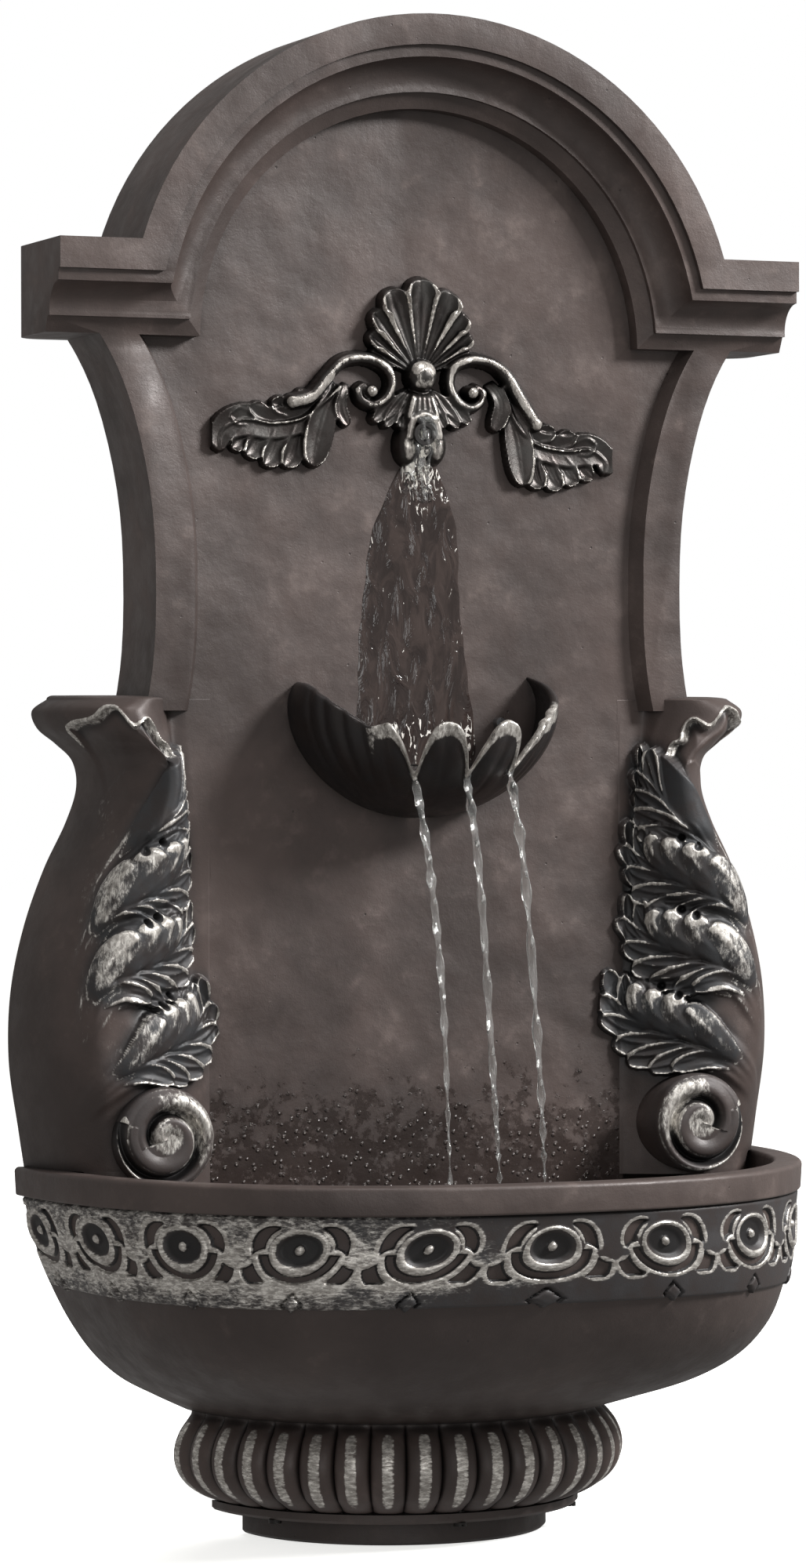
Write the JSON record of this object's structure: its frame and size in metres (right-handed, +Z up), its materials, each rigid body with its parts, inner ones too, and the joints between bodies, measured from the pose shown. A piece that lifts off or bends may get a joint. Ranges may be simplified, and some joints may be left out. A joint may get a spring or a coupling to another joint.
{
  "type": "garden wall fountain",
  "caption": "Wall-hung garden fountain: arched backboard with moulded head, side scrolls and leaves, shell spout crest, scallop spill bowl and a bow-fronted basin on a ribbed half-round foot.",
  "frame": {"origin": "on the wall face, midway between the two hanger holes", "axes": "+X to the right seen from the front, +Y into the wall, +Z up"},
  "size_m": [0.423, 0.222, 0.79],
  "materials": {
    "cast_resin": "cast resin, dark brown-grey aged metal wash, matt",
    "silvered_resin": "cast resin, near-black wash dry-brushed with pewter silver on the high points",
    "stainless_steel": "plain stainless",
    "black_rubber": "matt",
    "pump_plastic": "moulded, fine grain",
    "impeller_plastic": "moulded",
    "ceramic_pin": "ground ceramic",
    "brass_fitting": "dull",
    "tube_vinyl": "smoked flexible tube"
  },
  "bodies": {
    "root": {"acanthus_left": "silvered_resin", "acanthus_right": "silvered_resin", "backboard": "cast_resin", "basin": "cast_resin", "bowl_nuts": "stainless_steel", "bowl_studs": "stainless_steel", "bowl_washers": "stainless_steel", "cord_gland": "pump_plastic", "crest_leaf_left": "silvered_resin", "crest_leaf_right": "silvered_resin", "crest_shell": "silvered_resin", "drain_bush": "pump_plastic", "drain_nut": "pump_plastic", "foot_bolts": "stainless_steel", "foot_nuts": "stainless_steel", "foot_plinth": "cast_resin", "foot_seal_washers": "black_rubber", "gadrooned_foot": "cast_resin", "gland_nut": "pump_plastic", "hanger_plates": "stainless_steel", "hanger_screws": "stainless_steel", "hose_clamps": "stainless_steel", "ledge_screws": "stainless_steel", "ledge_washers": "stainless_steel", "outlet_adapter": "pump_plastic", "plinth_screws": "stainless_steel", "pump_cover": "pump_plastic", "pump_housing": "pump_plastic", "pump_shaft": "ceramic_pin", "scroll_left": "silvered_resin", "scroll_right": "silvered_resin", "shaft_bush": "black_rubber", "shell_bowl": "silvered_resin", "spout_mask": "silvered_resin", "spout_nozzle": "brass_fitting", "spout_nut": "brass_fitting", "suction_feet": "black_rubber", "supply_tube": "tube_vinyl", "tube_clip_screws": "stainless_steel", "tube_clips": "pump_plastic", "volute_left": "cast_resin", "volute_right": "cast_resin", "volute_screws": "stainless_steel"},
    "drain_stopper": {"drain_plug": "black_rubber"},
    "rotor": {"impeller": "impeller_plastic"},
    "strainer": {"strainer_cover": "pump_plastic"},
    "dial": {"flow_dial": "pump_plastic"}
  },
  "joints": [
    {"name": "rotor_spin", "type": "hinge", "parent": "root", "child": "rotor", "pos_m": [0.02, -0.096, -0.529], "axis": [1, 0, 0], "continuous": true},
    {"name": "strainer_pull", "type": "slide", "parent": "root", "child": "strainer", "axis": [-1, 0, 0], "range_m": [0, 0.03]},
    {"name": "flow_turn", "type": "hinge", "parent": "strainer", "child": "dial", "pos_m": [0.004, -0.096, -0.529], "axis": [1, 0, 0], "range_deg": [0, 90]},
    {"name": "stopper_pull", "type": "slide", "parent": "root", "child": "drain_stopper", "axis": [0, 0, 1], "range_m": [0, 0.05]}
  ]
}
